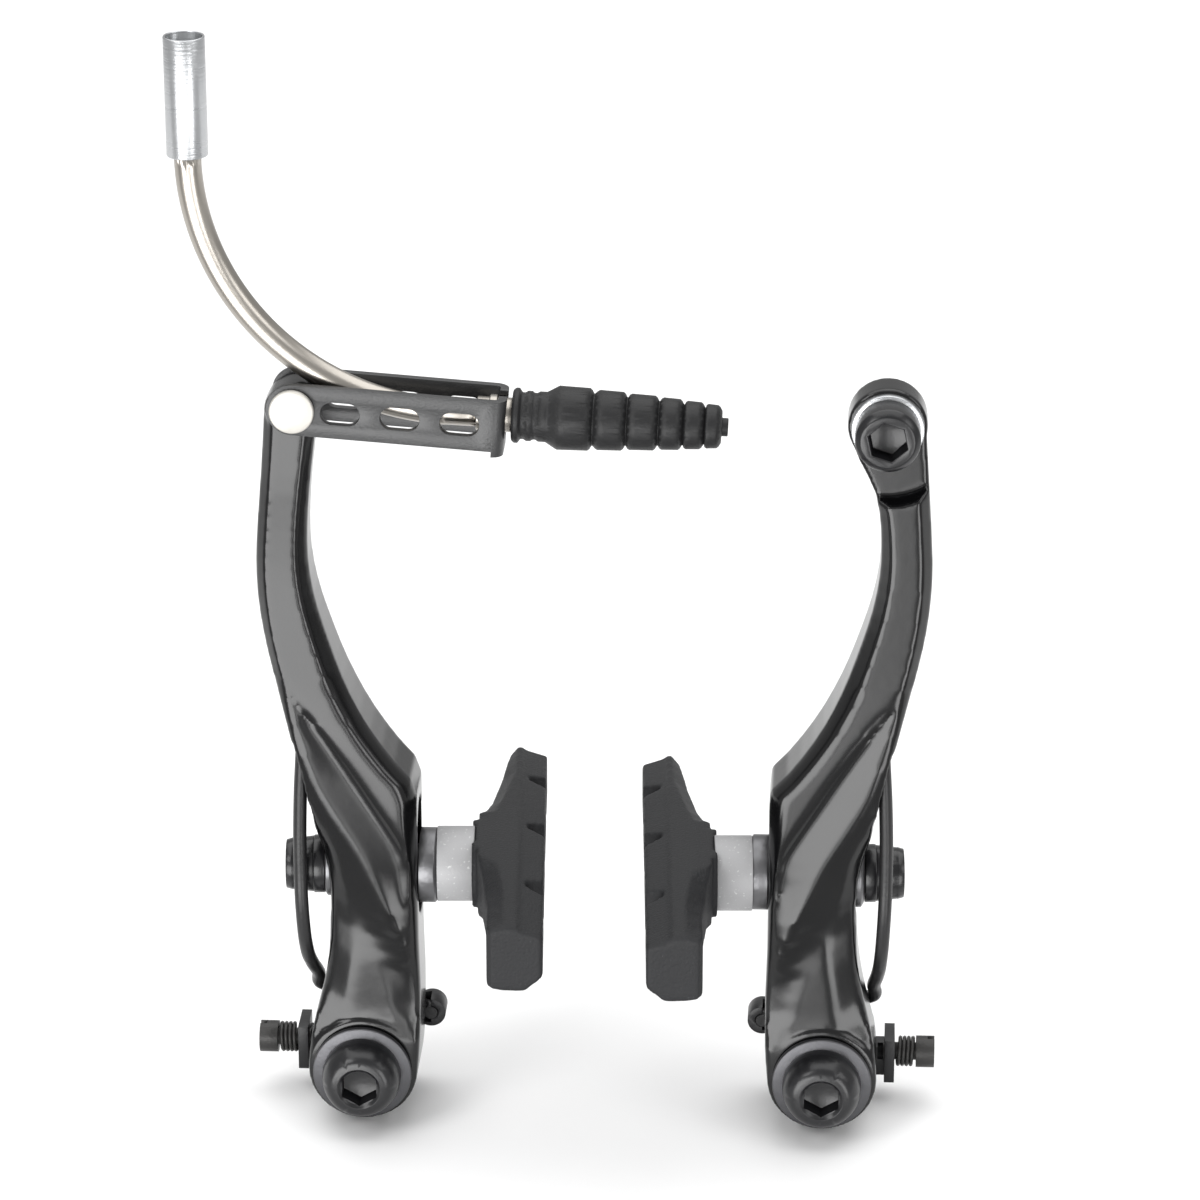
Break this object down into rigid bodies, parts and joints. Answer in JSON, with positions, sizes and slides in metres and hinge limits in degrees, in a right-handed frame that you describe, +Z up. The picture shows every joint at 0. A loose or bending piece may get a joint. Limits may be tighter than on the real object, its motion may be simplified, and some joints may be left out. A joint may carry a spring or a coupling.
{
  "type": "linear-pull bicycle brake",
  "caption": "Linear-pull bicycle rim brake: mirrored sprung arms on pivot bushes, hinged cable link, curved guide noodle, ribbed boot and adjustable rubber pads",
  "frame": {"origin": "on the noodle arm's pivot axis, at the back face of its bush", "axes": "+X from the noodle arm to the anchor arm, +Y towards the frame or fork along the pivot bolts, +Z up the arms"},
  "size_m": [0.1095, 0.0679, 0.1623],
  "materials": {
    "arm_paint": "gloss",
    "satin_black": "satin",
    "black_hardware": "semi-gloss",
    "steel": "satin",
    "bright_steel": "brushed",
    "light_alloy": "matte",
    "base_plastic": "satin",
    "liner_plastic": "satin",
    "pad_rubber": "matte, fine grain",
    "boot_rubber": "matte"
  },
  "bodies": {
    "left_pivot": {"left_bush": "steel", "left_pivot_ring": "steel", "left_pivot_bolt": "black_hardware", "left_spring_base": "base_plastic"},
    "left_arm": {"left_arm": "arm_paint", "left_return_spring": "black_hardware"},
    "left_tension_screw": {"left_tension_screw": "black_hardware", "left_screw_spring": "black_hardware"},
    "left_pad_carrier": {"left_inner_dome_washer": "steel", "left_outer_dome_washer": "steel"},
    "left_pad_tilt": {"left_spacer": "light_alloy", "left_outer_cup_washer": "black_hardware"},
    "left_pad": {"left_pad": "pad_rubber", "left_pad_stud": "steel", "left_pad_nut": "black_hardware"},
    "link": {"link_bracket": "satin_black", "link_pin": "bright_steel"},
    "noodle": {"noodle_tube": "bright_steel", "noodle_liner": "liner_plastic", "noodle_ferrule": "light_alloy", "noodle_tip": "bright_steel"},
    "boot": {"boot": "boot_rubber"},
    "right_pivot": {"right_bush": "steel", "right_pivot_ring": "steel", "right_pivot_bolt": "black_hardware", "right_spring_base": "base_plastic"},
    "right_arm": {"right_arm": "arm_paint", "right_return_spring": "black_hardware", "anchor_bolt": "black_hardware", "clamp_washer": "light_alloy"},
    "right_tension_screw": {"right_tension_screw": "black_hardware", "right_screw_spring": "black_hardware"},
    "right_pad_carrier": {"right_inner_dome_washer": "steel", "right_outer_dome_washer": "steel"},
    "right_pad_tilt": {"right_spacer": "light_alloy", "right_outer_cup_washer": "black_hardware"},
    "right_pad": {"right_pad": "pad_rubber", "right_pad_stud": "steel", "right_pad_nut": "black_hardware"}
  },
  "joints": [
    {"name": "boss_spacing", "type": "slide", "parent": "left_pivot", "child": "right_pivot", "axis": [1, 0, 0], "range_m": [0, 0.0126]},
    {"name": "left_arm_swing", "type": "hinge", "parent": "left_pivot", "child": "left_arm", "pos_m": [0, -0.009, 0], "axis": [0, 1, 0], "range_deg": [-23, 4.5], "stiffness_Nm_per_rad": 1, "deforming": ["left_return_spring"]},
    {"name": "right_arm_swing", "type": "hinge", "parent": "right_pivot", "child": "right_arm", "pos_m": [0.0674, -0.009, 0], "axis": [0, -1, 0], "range_deg": [-23, 4.5], "stiffness_Nm_per_rad": 1, "deforming": ["right_return_spring"]},
    {"name": "link_swing", "type": "hinge", "parent": "left_arm", "child": "link", "pos_m": [-0.0085, -0.009, 0.1015], "axis": [0, 1, 0], "range_deg": [-55, 32]},
    {"name": "noodle_swivel", "type": "hinge", "parent": "link", "child": "noodle", "pos_m": [0.02076, -0.009, 0.09995], "axis": [0.9991, 0, -0.0419], "range_deg": [-12, 12]},
    {"name": "boot_slide", "type": "slide", "parent": "link", "child": "boot", "axis": [0.9991, 0, -0.0419], "range_m": [0, 0.008]},
    {"name": "left_pad_height", "type": "slide", "parent": "left_arm", "child": "left_pad_carrier", "axis": [0, 0, 1], "range_m": [-0.0035, 0.007]},
    {"name": "left_pad_yaw", "type": "hinge", "parent": "left_pad_carrier", "child": "left_pad_tilt", "pos_m": [0.00205, -0.009, 0.0299], "axis": [0, 0, 1], "range_deg": [-8, 1.5]},
    {"name": "left_pad_turn", "type": "hinge", "parent": "left_pad_tilt", "child": "left_pad", "pos_m": [0.00205, -0.009, 0.0299], "axis": [0.9986, 0.0523, 0], "range_deg": [-15, 15]},
    {"name": "left_screw_travel", "type": "slide", "parent": "left_pivot", "child": "left_tension_screw", "axis": [1, 0, 0], "range_m": [-0.002, 0.0004], "deforming": ["left_screw_spring"]},
    {"name": "right_pad_height", "type": "slide", "parent": "right_arm", "child": "right_pad_carrier", "axis": [0, 0, 1], "range_m": [-0.0035, 0.007]},
    {"name": "right_pad_yaw", "type": "hinge", "parent": "right_pad_carrier", "child": "right_pad_tilt", "pos_m": [0.06535, -0.009, 0.0299], "axis": [0, 0, 1], "range_deg": [-7.5, 2]},
    {"name": "right_pad_turn", "type": "hinge", "parent": "right_pad_tilt", "child": "right_pad", "pos_m": [0.06535, -0.009, 0.0299], "axis": [0.9986, 0.0523, 0], "range_deg": [-15, 15]},
    {"name": "right_screw_travel", "type": "slide", "parent": "right_pivot", "child": "right_tension_screw", "axis": [-1, 0, 0], "range_m": [-0.002, 0.0004], "deforming": ["right_screw_spring"]}
  ]
}
